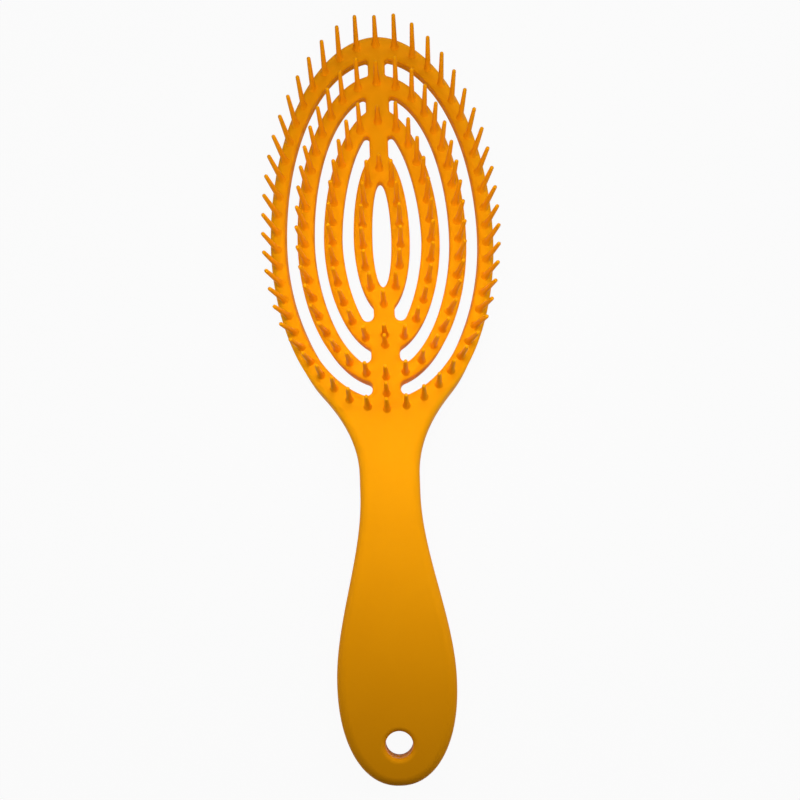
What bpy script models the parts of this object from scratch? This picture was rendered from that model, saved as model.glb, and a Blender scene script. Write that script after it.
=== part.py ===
"""Oval vented hair brush, lying on its back with its pins up.

The head is four nested ribs round a centre slot. Each rib is a front slice that carries the pins and
a rear rib behind it, and bridges at the crown and the foot join each rib to the next one out. The
handle is two hollow shells that meet on the same seam. Its ends fork into a yoke that closes the
outer rib. Lengths are metres, +Y runs from the handle to the head, and the pins point up, +Z.

Every outline is drawn on a flat pattern: u across, v along from the yoke line, w up from the front
face. The function bend lays that pattern over the brush's curved and domed front face.
"""

import math
from dataclasses import dataclass

import bmesh
import bpy
from mathutils import Matrix, Vector

# Fits
SEAM_GAP = 0.0003
OVERRUN = 0.003
WELD = 0.000002

# Lengthways curve and dome of the front face
HEAD_ARC_RADIUS = 1.100
HANDLE_ARC_RADIUS = 0.450
YOKE_SLOPE = 0.06
DOME_DROP = 0.0021
DOME_POWER = 3.2
DOME_HALF_WIDTH = 0.0347
DOME_HALF_LENGTH = 0.060
DOME_CENTRE = 0.057
DOME_FADE_BELOW = 0.014
DOME_FADE_ABOVE = 0.010

# Head, from the centre slot out: each size is measured from the widest line
WIDEST_LINE = 0.038
CENTRE_SLOT_SIDE = 0.0030
CENTRE_SLOT_CROWN = 0.0195
CENTRE_SLOT_FOOT = 0.0160
INNER_RIB_SIDE = 0.0059
INNER_RIB_CROWN = 0.0105
INNER_RIB_FOOT = 0.0080
THIRD_SLOT_SIDE = 0.0037
THIRD_SLOT_CROWN = 0.0095
THIRD_SLOT_FOOT = 0.0092
THIRD_RIB_SIDE = 0.0058
THIRD_RIB_CROWN = 0.0060
THIRD_RIB_FOOT = 0.0039
SECOND_SLOT_SIDE = 0.0032
SECOND_SLOT_CROWN = 0.0055
SECOND_SLOT_FOOT = 0.0063
SECOND_RIB_SIDE = 0.0053
SECOND_RIB_CROWN = 0.0067
SECOND_RIB_FOOT = 0.0043
FIRST_SLOT_SIDE = 0.0039
FIRST_SLOT_CROWN = 0.0063
FIRST_SLOT_FOOT = 0.0047
OUTER_RIB_SIDE = 0.0048
OUTER_RIB_CROWN = 0.0083
OUTER_RIB_FOOT = 0.0083
ELLIPSE = 2.0
THIRD_BORE_POWER = 1.75
THIRD_CROWN_POWER = 1.85
SECOND_FOOT_POWER = 1.88
OUTER_CROWN_POWER = 1.94

# Bridges between the ribs: half widths, the rounds of the slots' ends, and where each bridge parts
FIRST_BRIDGE_CROWN = 0.0028
FIRST_BRIDGE_FOOT = 0.0044
SECOND_BRIDGE_CROWN = 0.0038
SECOND_BRIDGE_FOOT = 0.0045
THIRD_BRIDGE_CROWN = 0.0030
THIRD_BRIDGE_FOOT = 0.0033
BRIDGE_DRAFT = 0.0005
SLOT_END_ROUND = 0.0014
FIRST_PART_SHARE = 0.0
MIDDLE_PART_SHARE = 0.5

# Rib section
RIB_DEPTH = 0.0042
RIB_SEAM = 0.0019
RIB_EDGE = 0.0010
RIB_BACK_EDGE = 0.0008
FADE_TO_RIB_DEPTH = 0.045
WAIST_FALL = -0.11

# Pins
PIN_LENGTH = 0.0156
PIN_ROOT_RADIUS = 0.00130
PIN_ROOT_HEIGHT = 0.0014
PIN_NECK_RADIUS = 0.00080
PIN_TIP_RADIUS = 0.00046
PIN_SIDES = 5
OUTER_PINS = 50
YOKE_PINS_A_SIDE = 4
SECOND_PINS = 38
THIRD_PINS = 26
INNER_PINS = 14
OUTER_PIN_SPREAD = 1.0
SECOND_PIN_SPREAD = 0.5
OUTER_PIN_CROWN = 0.0050
OUTER_PIN_FOOT = 0.0034
SECOND_PIN_CROWN = 0.0035
SECOND_PIN_FOOT = 0.0021
THIRD_PIN_CROWN = 0.0009
THIRD_PIN_FOOT = 0.0018
INNER_PIN_CROWN = 0.0045
INNER_PIN_FOOT = 0.0057
FIRST_BRIDGE_PIN_DROP = 0.0032
THIRD_BRIDGE_PIN_RISE = 0.0033
FORWARD_LEAN = 0.14
FORWARD_LEAN_END = 0.095
SIDE_LEAN = 1.25
SIDE_LEAN_CROWN = 0.05
SIDE_LEAN_START = 0.060
SIDE_LEAN_END = 0.105

# Handle outline, measured down from the yoke line
HANDLE_LENGTH = 0.1342
TAIL_LENGTH = 0.0317
TAIL_POWER = 2.2
SWELL_HALF_WIDTH = 0.0184
WAIST_HALF_WIDTH = 0.0093
WAIST_START = 0.044
WAIST_END = 0.038
FLARE_END = 0.012
FAN_POWER = 1.7

# Handle section
HANDLE_EDGE = 0.0030
HANDLE_BACK_EDGE = 0.0036
HANDLE_SEAM = 0.0050
TAIL_SEAM = 0.0038
HANDLE_FACE_CROWN = 0.0004
HANDLE_WALL = 0.0020
TAIL_DEPTH = 0.0079
LAND_DEPTH = 0.0142
WAIST_DEPTH = 0.0106
TAIL_TO_LAND = 0.0200
LAND_LENGTH = 0.0200
CAVITY_END = 0.030
CAVITY_EDGE = 0.0018

# Hanging hole
HANG_HOLE_FROM_TAIL = 0.0130
HANG_HOLE_RADIUS = 0.00425
HANG_RIM_RADIUS = 0.0058
HANG_RIM_DEPTH = 0.0018
HANG_BOSS_WALL = 0.0020

# Pegs that locate the front shell in the rear shell
PEG_RADIUS = 0.0015
PEG_REACH = 0.0025
PEG_BOSS_WALL = 0.0015
FIRST_PEG = 0.045
TAIL_TO_LAST_PEG = 0.034
PEGS = 3
PEG_SIDES = 12
HOLE_SIDES = 24

# Facets
ROUND_STEPS = 2
BACK_ROUND_STEPS = 1
FILLET_STEPS = 3
OUTER_STEPS = 19
SECOND_STEPS = 17
THIRD_STEPS = 14
INNER_STEPS = 12
TAIL_STEPS = 8
BODY_STEPS = 9
ARC_SAMPLES = 720

ORANGE = (0.93, 0.32, 0.003, 1.0)
ROUGHNESS = 0.38


def smooth(value, start, end):
    """Zero before start, one after end and an even rise between them."""
    share = min(1, max(0, (value - start) / (end - start)))
    return share * share * (3 - 2 * share)


def mix(first, second, share):
    return first + (second - first) * share


def eased(value, start, end, first, last, slope_first, slope_last):
    """A cubic from first to last between start and end, with a stated slope at each end."""
    reach = end - start
    share = (value - start) / reach
    rise = share * share * (3 - 2 * share)
    leave = share * (1 - share) ** 2
    arrive = share * share * (share - 1)
    return mix(first, last, rise) + reach * (slope_first * leave + slope_last * arrive)


# The curved and domed front face


def dome(u, v):
    """Drop of the domed head under the lengthways curve, and its slopes across and along."""
    fade = smooth(v, -DOME_FADE_BELOW, DOME_FADE_ABOVE)
    along = v - DOME_CENTRE
    reach = (u / DOME_HALF_WIDTH) ** 2 + (along / DOME_HALF_LENGTH) ** 2
    drop = DOME_DROP * reach ** (DOME_POWER / 2) * fade
    slope = DOME_POWER * drop / reach if reach > 0 else 0
    return drop, slope * u / DOME_HALF_WIDTH**2, slope * along / DOME_HALF_LENGTH**2


def arc_radius(v):
    return HEAD_ARC_RADIUS if v > 0 else HANDLE_ARC_RADIUS


def directions(v):
    """The directions along and up from the lengthways curve."""
    slope = YOKE_SLOPE + v / arc_radius(v)
    return Vector((0, math.cos(slope), -math.sin(slope))), Vector((0, math.sin(slope), math.cos(slope)))


def bend(u, v, w):
    """The place in space of a point of the flat pattern."""
    radius = arc_radius(v)
    ahead, up = directions(v)
    arc = Vector((u, up.y - math.sin(YOKE_SLOPE), up.z - math.cos(YOKE_SLOPE)))
    drop, across, along = dome(u, v)
    normal = (up + Vector((across, 0, 0)) + along * ahead).normalized()
    return Vector((arc.x, radius * arc.y, radius * arc.z)) - drop * up + w * normal


def stand_on(u, v):
    """The frame whose Z axis is the way a pin stands at a point of the flat pattern.

    On the handle that is square to the face. On the head the pins lean out a little more than that
    at the sides, less near the crown, and further forward towards it.
    """
    _, across, along = dome(u, v)
    ahead, up = directions(v)
    side = mix(SIDE_LEAN, SIDE_LEAN_CROWN, smooth(v, SIDE_LEAN_START, SIDE_LEAN_END))
    forward = FORWARD_LEAN * smooth(v, 0, FORWARD_LEAN_END)
    stands = up + Vector((side * across, 0, 0)) + (along + forward) * ahead
    turn = Vector((0, 0, 1)).rotation_difference(stands.normalized()).to_matrix().to_4x4()
    return Matrix.Translation(bend(u, v, 0)) @ turn


# Outlines on the flat pattern


@dataclass(frozen=True)
class Rim:
    """One closed curve of the head, measured from the widest line."""

    side: float
    crown: float
    foot: float
    crown_power: float = ELLIPSE
    foot_power: float = ELLIPSE

    def point(self, bearing):
        """The point at a bearing, which is zero at the crown and pi at the foot."""
        lower = math.cos(bearing) < 0
        share = 2 / (self.foot_power if lower else self.crown_power)
        across = math.copysign(abs(math.sin(bearing)) ** share, math.sin(bearing))
        along = math.copysign(abs(math.cos(bearing)) ** share, math.cos(bearing))
        return Vector((self.side * across, WIDEST_LINE + (self.foot if lower else self.crown) * along))

    def outward(self, bearing):
        small = math.pi / ARC_SAMPLES
        ahead = self.point(bearing + small) - self.point(bearing - small)
        return Vector((-ahead.y, ahead.x)).normalized()

    def bearing_at(self, v):
        """The bearing below the widest line at which the curve crosses v."""
        return math.acos((v - WIDEST_LINE) / self.foot)

    def grown(self, side, crown, foot, crown_power=ELLIPSE, foot_power=ELLIPSE):
        return Rim(self.side + side, self.crown + crown, self.foot + foot, crown_power, foot_power)


@dataclass(frozen=True)
class Item:
    """An outline point, the direction from it into the material, and its bearing."""

    place: Vector
    lean: Vector
    bearing: float = 0

    def at(self, inset, w):
        flat = self.place + self.lean * inset
        return (flat.x, flat.y, w)


@dataclass(frozen=True)
class Slot:
    """A slot between two ribs, with the bridges that end it at the crown and the foot."""

    outer: Rim
    inner: Rim
    crown_bridge: float
    foot_bridge: float
    part_share: float

    def round_end(self, outer, foot):
        """The bearing where an end round meets its rim, and the round's centre."""
        rim = self.outer if outer else self.inner
        side = -1 if outer else 1
        bridge = self.foot_bridge if foot else self.crown_bridge
        near, far = (math.pi, math.pi / 2) if foot else (0, math.pi / 2)
        for _ in range(40):
            bearing = (near + far) / 2
            centre = rim.point(bearing) + side * SLOT_END_ROUND * rim.outward(bearing)
            if centre.x < bridge + SLOT_END_ROUND:
                near = bearing
            else:
                far = bearing
        return bearing, centre

    def bridge_end(self, outer, foot):
        """Where the outer or the inner rib's part of the bridge ends, a gap apart."""
        gap = -SEAM_GAP if foot else SEAM_GAP
        near = self.round_end(False, foot)[1].y
        end = mix(near, self.round_end(True, foot)[1].y - gap, self.part_share)
        return end + gap if outer else end

    def end_items(self, outer, foot):
        """The items from the middle of the bridge to its round, in order away from the middle."""
        bearing, centre = self.round_end(outer, foot)
        rim = self.outer if outer else self.inner
        facing = 1 if outer else -1
        bridge = self.foot_bridge if foot else self.crown_bridge
        end = self.bridge_end(outer, foot)
        touch = facing * rim.outward(bearing)
        turn = math.atan2(touch.y, touch.x) - math.pi
        turn = (turn + math.pi) % (2 * math.pi) - math.pi
        count = FILLET_STEPS + 2
        zero = math.pi if foot else 0
        items = [
            Item(Vector((0, end)), Vector((0, 0)), zero),
            Item(Vector((bridge - BRIDGE_DRAFT, end)), Vector((-1, 0)), mix(zero, bearing, 1 / count)),
        ]
        for step in range(FILLET_STEPS):
            angle = math.pi + turn * step / FILLET_STEPS
            lean = Vector((math.cos(angle), math.sin(angle)))
            share = (step + 2) / count
            items.append(Item(centre + SLOT_END_ROUND * lean, lean, mix(zero, bearing, share)))
        return items, bearing

    def side_items(self, outer, steps):
        """One side of the slot on the right half, from the crown's bridge to the foot's."""
        crown, start = self.end_items(outer, False)
        foot, end = self.end_items(outer, True)
        rim = self.outer if outer else self.inner
        facing = 1 if outer else -1
        bearings = [mix(start, end, step / steps) for step in range(steps + 1)]
        run = [Item(rim.point(b), facing * rim.outward(b), b) for b in bearings]
        return crown + run + foot[::-1]


CENTRE_RIM = Rim(CENTRE_SLOT_SIDE, CENTRE_SLOT_CROWN, CENTRE_SLOT_FOOT)
INNER_RIM = CENTRE_RIM.grown(INNER_RIB_SIDE, INNER_RIB_CROWN, INNER_RIB_FOOT)
THIRD_BORE = INNER_RIM.grown(
    THIRD_SLOT_SIDE, THIRD_SLOT_CROWN, THIRD_SLOT_FOOT, THIRD_BORE_POWER, THIRD_BORE_POWER
)
THIRD_RIM = THIRD_BORE.grown(THIRD_RIB_SIDE, THIRD_RIB_CROWN, THIRD_RIB_FOOT, THIRD_CROWN_POWER)
SECOND_BORE = THIRD_RIM.grown(
    SECOND_SLOT_SIDE, SECOND_SLOT_CROWN, SECOND_SLOT_FOOT, ELLIPSE, SECOND_FOOT_POWER
)
SECOND_RIM = SECOND_BORE.grown(SECOND_RIB_SIDE, SECOND_RIB_CROWN, SECOND_RIB_FOOT)
OUTER_BORE = SECOND_RIM.grown(FIRST_SLOT_SIDE, FIRST_SLOT_CROWN, FIRST_SLOT_FOOT)
OUTER_RIM = OUTER_BORE.grown(OUTER_RIB_SIDE, OUTER_RIB_CROWN, OUTER_RIB_FOOT, OUTER_CROWN_POWER)

FIRST_SLOT = Slot(OUTER_BORE, SECOND_RIM, FIRST_BRIDGE_CROWN, FIRST_BRIDGE_FOOT, FIRST_PART_SHARE)
SECOND_SLOT = Slot(SECOND_BORE, THIRD_RIM, SECOND_BRIDGE_CROWN, SECOND_BRIDGE_FOOT, MIDDLE_PART_SHARE)
THIRD_SLOT = Slot(THIRD_BORE, INNER_RIM, THIRD_BRIDGE_CROWN, THIRD_BRIDGE_FOOT, MIDDLE_PART_SHARE)

OUTER_PIN_LINE = OUTER_BORE.grown(OUTER_RIB_SIDE / 2, OUTER_PIN_CROWN, OUTER_PIN_FOOT)
SECOND_PIN_LINE = SECOND_BORE.grown(SECOND_RIB_SIDE / 2, SECOND_PIN_CROWN, SECOND_PIN_FOOT)
THIRD_PIN_LINE = THIRD_BORE.grown(THIRD_RIB_SIDE / 2, THIRD_PIN_CROWN, THIRD_PIN_FOOT)
INNER_PIN_LINE = CENTRE_RIM.grown(INNER_RIB_SIDE / 2, INNER_PIN_CROWN, INNER_PIN_FOOT)


def pin_spots(line, count, spread=0):
    """Points round a closed line from the crown, as u and v.

    A spread sets them closer together at the sides, and wider apart on the shoulders.
    """
    path = [line.point(2 * math.pi * step / ARC_SAMPLES) for step in range(ARC_SAMPLES + 1)]
    run = [0.0]
    for a, b in zip(path, path[1:]):
        run.append(run[-1] + (b - a).length)
    spots = []
    step = 0
    for number in range(count):
        turn = 1 - 2 * number / count
        widened = turn - spread * turn**3 * (1 - abs(turn)) ** 2
        wanted = run[-1] * (1 - widened) / 2
        while run[step + 1] < wanted:
            step += 1
        share = (wanted - run[step]) / (run[step + 1] - run[step])
        spots.append(path[step].lerp(path[step + 1], share))
    return spots


def horn_line():
    """Where the yoke's horns meet the outer rib: midway between two pins."""
    spots = pin_spots(OUTER_PIN_LINE, OUTER_PINS, OUTER_PIN_SPREAD)
    last = OUTER_PINS // 2 - YOKE_PINS_A_SIDE
    return (spots[last].y + spots[last - 1].y) / 2


HORN_LINE = horn_line()


# Depths that change along the brush


def edge_round(v):
    """Radius of the front face's edge."""
    return mix(HANDLE_EDGE, RIB_EDGE, smooth(v, -WAIST_END, HORN_LINE))


def back_round(v):
    """Radius of the back's edge."""
    return mix(HANDLE_BACK_EDGE, RIB_BACK_EDGE, smooth(v, -WAIST_END, HORN_LINE))


def seam_depth(v):
    """Depth of the seam between the front and the rear mouldings."""
    handle = mix(TAIL_SEAM, HANDLE_SEAM, smooth(v, -HANDLE_LENGTH, -WAIST_END))
    return mix(handle, RIB_SEAM, smooth(v, -WAIST_END, HORN_LINE))


LAND_START = TAIL_TO_LAND - HANDLE_LENGTH
LAND_END = LAND_START + LAND_LENGTH
HEEL = bend(0, (LAND_START + LAND_END) / 2, -LAND_DEPTH)
TOE = bend(0, OUTER_RIM.point(0).y - RIB_BACK_EDGE, -RIB_DEPTH)


def land_depth(v):
    """Depth of the plane that the brush rests on, which its heel and its toe touch."""
    along = TOE - HEEL
    up = Vector((0, -along.z, along.y))
    face = bend(0, v, 0)
    reach = face - bend(0, v, -LAND_DEPTH)
    return LAND_DEPTH * (face - HEEL).dot(up) / reach.dot(up)


def land_slope(v):
    return (land_depth(v + SEAM_GAP) - land_depth(v - SEAM_GAP)) / (2 * SEAM_GAP)


def back_depth(v):
    """Depth of the back: flat along the land at the heel, thinner to the tail, the waist and the head."""
    if v < LAND_START:
        depth = land_depth(LAND_START)
        return eased(v, -HANDLE_LENGTH, LAND_START, TAIL_DEPTH, depth, 0, land_slope(LAND_START))
    if v < LAND_END:
        return land_depth(v)
    if v < -WAIST_END:
        depth = land_depth(LAND_END)
        return eased(v, LAND_END, -WAIST_END, depth, WAIST_DEPTH, land_slope(LAND_END), WAIST_FALL)
    if v < FADE_TO_RIB_DEPTH:
        return eased(v, -WAIST_END, FADE_TO_RIB_DEPTH, WAIST_DEPTH, RIB_DEPTH, WAIST_FALL, 0)
    return RIB_DEPTH


def front_levels(item):
    """The front slice's wall and its rounded edge, from the seam up."""
    radius = edge_round(item.place.y)
    levels = [item.at(0, -seam_depth(item.place.y))]
    for step in range(ROUND_STEPS + 1):
        angle = math.pi / 2 * step / ROUND_STEPS
        levels.append(item.at(radius * (1 - math.cos(angle)), radius * (math.sin(angle) - 1)))
    return levels


def rear_levels(item, steps=BACK_ROUND_STEPS):
    """The rear piece's wall and its rounded edge, from the seam down."""
    radius = back_round(item.place.y)
    levels = [item.at(0, -seam_depth(item.place.y) - SEAM_GAP)]
    for step in range(steps + 1):
        angle = math.pi / 2 * step / steps
        u, v, rise = item.at(radius * (1 - math.cos(angle)), radius * (1 - math.sin(angle)))
        levels.append((u, v, rise - back_depth(v)))
    return levels


# Half outlines of the pieces


def rib_stations(outer_items, inner_items, levels):
    """Closed sections from an outline's outer edge to its inner edge, one for each pair of items."""
    return [levels(outer) + levels(inner)[::-1] for outer, inner in zip(outer_items, inner_items)]


def matched(rim, items, facing):
    """Items on a rim at the bearings of other items."""
    return [Item(rim.point(i.bearing), facing * rim.outward(i.bearing), i.bearing) for i in items]


def squared(items):
    """The same items with the last one leaning straight across, for an end cut square."""
    last = items[-1]
    return [*items[:-1], Item(last.place, Vector((math.copysign(1, last.lean.x), 0)))]


def outer_rib_items():
    """The outer rib's right half, from the crown to the horn."""
    ends, start = FIRST_SLOT.end_items(True, False)
    stop = HORN_LINE + SEAM_GAP / 2
    inner = list(ends)
    outer = matched(OUTER_RIM, ends, -1)
    bore_end = OUTER_BORE.bearing_at(stop)
    rim_end = OUTER_RIM.bearing_at(stop)
    for step in range(OUTER_STEPS + 1):
        share = step / OUTER_STEPS
        bore = mix(start, bore_end, share)
        rim = mix(start, rim_end, share)
        inner.append(Item(OUTER_BORE.point(bore), OUTER_BORE.outward(bore)))
        outer.append(Item(OUTER_RIM.point(rim), -OUTER_RIM.outward(rim)))
    return squared(outer), squared(inner)


def handle_half_width(v):
    """Half the handle's width above its tail, up to the horns."""
    swell = TAIL_LENGTH - HANDLE_LENGTH
    if v < -WAIST_START:
        return mix(SWELL_HALF_WIDTH, WAIST_HALF_WIDTH, smooth(v, swell, -WAIST_START))
    if v < -WAIST_END:
        return WAIST_HALF_WIDTH
    if v < -FLARE_END:
        meet = OUTER_RIM.bearing_at(-FLARE_END)
        ahead = OUTER_RIM.outward(meet)
        slope = -ahead.y / ahead.x
        width = OUTER_RIM.point(meet).x
        return eased(v, -WAIST_END, -FLARE_END, WAIST_HALF_WIDTH, width, 0, slope)
    return OUTER_RIM.point(OUTER_RIM.bearing_at(v)).x


def tail_point(bearing):
    """A point of the rounded tail, whose bearing is zero at the tip."""
    share = 2 / TAIL_POWER
    across = SWELL_HALF_WIDTH * math.sin(bearing) ** share
    return Vector((across, TAIL_LENGTH - HANDLE_LENGTH - TAIL_LENGTH * math.cos(bearing) ** share))


def facing_in(points):
    """The inward direction at each point of the handle's right outline, read upwards."""
    leans = [Vector((0, 1))]
    for before, after in zip(points, points[2:] + points[-1:]):
        along = after - before
        leans.append(Vector((-along.y, along.x)).normalized())
    return leans[: len(points)]


def handle_items():
    """The right half of the handle and its yoke, as outer and inner items from tail to horn."""
    ends, start = FIRST_SLOT.end_items(True, True)
    stop = HORN_LINE - SEAM_GAP / 2
    horn = OUTER_BORE.bearing_at(stop)
    inner_run = list(ends)
    steps = OUTER_STEPS // 2
    for step in range(steps + 1):
        bearing = mix(start, horn, step / steps)
        inner_run.append(Item(OUTER_BORE.point(bearing), OUTER_BORE.outward(bearing)))
    points = [tail_point(math.pi / 2 * step / TAIL_STEPS) for step in range(TAIL_STEPS)]
    lines = [
        mix(TAIL_LENGTH - HANDLE_LENGTH, -WAIST_END, step / BODY_STEPS) for step in range(BODY_STEPS + 1)
    ]
    count = len(inner_run)
    lines += [mix(-WAIST_END, stop, ((step + 1) / count) ** FAN_POWER) for step in range(count)]
    points += [Vector((handle_half_width(v), v)) for v in lines]
    outer = [Item(point, lean) for point, lean in zip(points, facing_in(points))]
    inner = [middle_item(item) for item in outer[: len(outer) - count]] + inner_run
    return squared(outer), squared(inner)


def middle_item(item):
    """The item on the middle line that a rung from an outline's edge reaches."""
    v = item.place.y + item.lean.y * max(edge_round(item.place.y), back_round(item.place.y))
    return Item(Vector((0, v)), Vector((0, 0)))


def face_crown(v, share):
    """Rise of the handle's face towards its middle line."""
    return HANDLE_FACE_CROWN * share * (2 - share) * (1 - smooth(v, -WAIST_END, -FLARE_END))


def shell_stations(levels, face_rise):
    """Closed sections of a handle shell, with rungs across its face and its seam."""
    stations = []
    for outer, inner in zip(*handle_items()):
        out_side = levels(outer)
        in_side = levels(inner)
        section = list(out_side)
        for share in RUNG_SHARES:
            u, v, w = (mix(a, b, share) for a, b in zip(out_side[-1], in_side[-1]))
            section.append((u, v, w + face_rise(v, share)))
        u, v, w = in_side[-1]
        in_side[-1] = (u, v, w + face_rise(v, 1))
        section += in_side[::-1]
        section.append(tuple(mix(a, b, 1 / 2) for a, b in zip(in_side[0], out_side[0])))
        stations.append(section)
    return stations


RUNG_SHARES = (1 / 3, 2 / 3)


def cavity_stations():
    """Closed sections of the hollow inside the handle, a wall thinner than the handle all round."""
    outer, _ = handle_items()
    stations = []
    for item in outer:
        if item.place.y > -CAVITY_END:
            break
        v = item.place.y
        top = -HANDLE_WALL
        bottom = HANDLE_WALL - back_depth(v)
        edge = CAVITY_EDGE
        inset = HANDLE_WALL
        side = [
            item.at(inset + edge, top),
            item.at(inset, top - edge),
            item.at(inset, bottom + edge),
            item.at(inset + edge, bottom),
        ]
        middle = [(0, side[3][1], bottom), (0, side[0][1], top)]
        stations.append(side + middle)
    return stations


# Meshes


def mesh_object(name, bm, collection):
    """A new object from a bmesh, put in a collection and under the brush's frame."""
    mesh = bpy.data.meshes.new(name)
    bm.to_mesh(mesh)
    bm.free()
    obj = bpy.data.objects.new(name, mesh)
    collection.objects.link(obj)
    obj.parent = bpy.data.objects[FRAME_NAME]
    return obj


def half_loft(name, stations, collection):
    """A solid lofted on the right half through closed sections, then mirrored across the middle.

    A section that lies on the middle plane stays open, and so do the faces between sections there.
    """
    bm = bmesh.new()
    rings = [[bm.verts.new(bend(*point)) for point in station] for station in stations]
    for ring in (rings[0], rings[-1]):
        if max(vert.co.x for vert in ring) > WELD:
            bm.faces.new(ring)
    for ring, following in zip(rings, rings[1:]):
        for i in range(len(ring)):
            j = (i + 1) % len(ring)
            bm.faces.new((ring[i], ring[j], following[j]))
            bm.faces.new((ring[i], following[j], following[i]))
    bmesh.ops.remove_doubles(bm, verts=bm.verts, dist=WELD)
    bmesh.ops.dissolve_degenerate(bm, dist=WELD, edges=bm.edges)
    middle = [face for face in bm.faces if max(vert.co.x for vert in face.verts) < WELD]
    bmesh.ops.delete(bm, geom=middle, context="FACES")
    copy = bmesh.ops.duplicate(bm, geom=bm.faces[:] + bm.edges[:] + bm.verts[:])["geom"]
    mirrored = [element for element in copy if isinstance(element, bmesh.types.BMVert)]
    bmesh.ops.scale(bm, vec=(-1, 1, 1), verts=mirrored)
    bmesh.ops.remove_doubles(bm, verts=bm.verts, dist=WELD)
    bmesh.ops.recalc_face_normals(bm, faces=bm.faces)
    return mesh_object(name, bm, collection)


def turned(profile, sides):
    """A bmesh turned about Z from a profile of radius and height, read from the bottom up."""
    bm = bmesh.new()
    verts = [bm.verts.new((radius, 0, height)) for radius, height in profile]
    edges = [bm.edges.new(pair) for pair in zip(verts, verts[1:])]
    bmesh.ops.spin(
        bm,
        geom=verts + edges,
        cent=(0, 0, 0),
        axis=(0, 0, 1),
        angle=2 * math.pi,
        steps=sides,
        use_merge=True,
    )
    bmesh.ops.remove_doubles(bm, verts=bm.verts, dist=WELD)
    bmesh.ops.recalc_face_normals(bm, faces=bm.faces)
    bmesh.ops.rotate(bm, verts=bm.verts, matrix=Matrix.Rotation(math.pi / sides, 3, "Z"))
    return bm


def stood(name, shapes, collection):
    """Turned shapes standing on the front face as one object: each is a profile, its u and v, its sides."""
    bm = bmesh.new()
    for profile, (u, v), sides in shapes:
        part = turned(profile, sides)
        part.transform(stand_on(u, v))
        shape = bpy.data.meshes.new(name)
        part.to_mesh(shape)
        part.free()
        bm.from_mesh(shape)
        bpy.data.meshes.remove(shape)
    return mesh_object(name, bm, collection)


def pin_shapes(spots):
    """Tapered pins with flared roots, sunk a little way into the slice that carries them."""
    sink = PIN_ROOT_HEIGHT / 2
    slope = (PIN_ROOT_RADIUS - PIN_NECK_RADIUS) / PIN_ROOT_HEIGHT
    profile = [
        (0, -sink),
        (PIN_ROOT_RADIUS + slope * sink, -sink),
        (PIN_NECK_RADIUS, PIN_ROOT_HEIGHT),
        (PIN_TIP_RADIUS, PIN_LENGTH - PIN_TIP_RADIUS),
        (0, PIN_LENGTH),
    ]
    return [(profile, spot, PIN_SIDES) for spot in spots]


def combine(obj, other, operation):
    """Joins another object to a piece, or cuts it out."""
    step = obj.modifiers.new(other.name, "BOOLEAN")
    step.operation = operation
    step.solver = "EXACT"
    step.object = other


def plastic(name):
    """The orange moulded plastic of one piece."""
    material = bpy.data.materials.new(name)
    material.use_nodes = True
    shader = material.node_tree.nodes["Principled BSDF"]
    shader.inputs["Base Color"].default_value = ORANGE
    shader.inputs["Roughness"].default_value = ROUGHNESS
    shader.inputs["Metallic"].default_value = 0
    material.diffuse_color = ORANGE
    return material


def dress(obj):
    """Gives a piece its material and smooth shading between sharp edges."""
    obj.data.materials.append(plastic(obj.name + "_plastic"))
    obj.data.shade_smooth()
    obj.data.set_sharp_from_angle(angle=math.radians(50))


# Pieces


def rib_pieces(collection, helpers):
    """The three closed ribs and the open outer one, each as a slice with pins and a rear rib."""
    inner_outline = THIRD_SLOT.side_items(False, INNER_STEPS)
    outlines = {
        "outer": outer_rib_items(),
        "second": (FIRST_SLOT.side_items(False, SECOND_STEPS), SECOND_SLOT.side_items(True, SECOND_STEPS)),
        "third": (SECOND_SLOT.side_items(False, THIRD_STEPS), THIRD_SLOT.side_items(True, THIRD_STEPS)),
        "inner": (inner_outline, matched(CENTRE_RIM, inner_outline, 1)),
    }
    around = pin_spots(OUTER_PIN_LINE, OUTER_PINS, OUTER_PIN_SPREAD)
    spots = {
        "outer": [spot for spot in around if spot.y > HORN_LINE],
        "second": pin_spots(SECOND_PIN_LINE, SECOND_PINS, SECOND_PIN_SPREAD),
        "third": pin_spots(THIRD_PIN_LINE, THIRD_PINS),
        "inner": pin_spots(INNER_PIN_LINE, INNER_PINS),
    }
    spots["third"].append(THIRD_PIN_LINE.point(math.pi) + Vector((0, THIRD_BRIDGE_PIN_RISE)))
    for rib, (outer, inner) in outlines.items():
        front = half_loft(rib + "_pin_rib", rib_stations(outer, inner, front_levels), collection)
        combine(front, stood(rib + "_pins", pin_shapes(spots[rib]), helpers), "UNION")
        dress(front)
        rear = half_loft(rib + "_rear_rib", rib_stations(outer, inner, rear_levels), collection)
        dress(rear)


def pegs():
    """The front shell's pegs and the rear shell's sockets, as profiles with their places."""
    made = []
    sockets = []
    bore = PEG_RADIUS + SEAM_GAP
    for number in range(PEGS):
        v = mix(-FIRST_PEG, TAIL_TO_LAST_PEG - HANDLE_LENGTH, number / (PEGS - 1))
        seam = -seam_depth(v)
        tip = seam - PEG_REACH
        root = (seam - HANDLE_WALL) / 2
        made.append(([(0, tip), (PEG_RADIUS, tip), (PEG_RADIUS, root), (0, root)], (0, v), PEG_SIDES))
        floor = tip - SEAM_GAP
        sockets.append(([(0, floor), (bore, floor), (bore, root), (0, root)], (0, v), PEG_SIDES))
    return made, sockets


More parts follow.
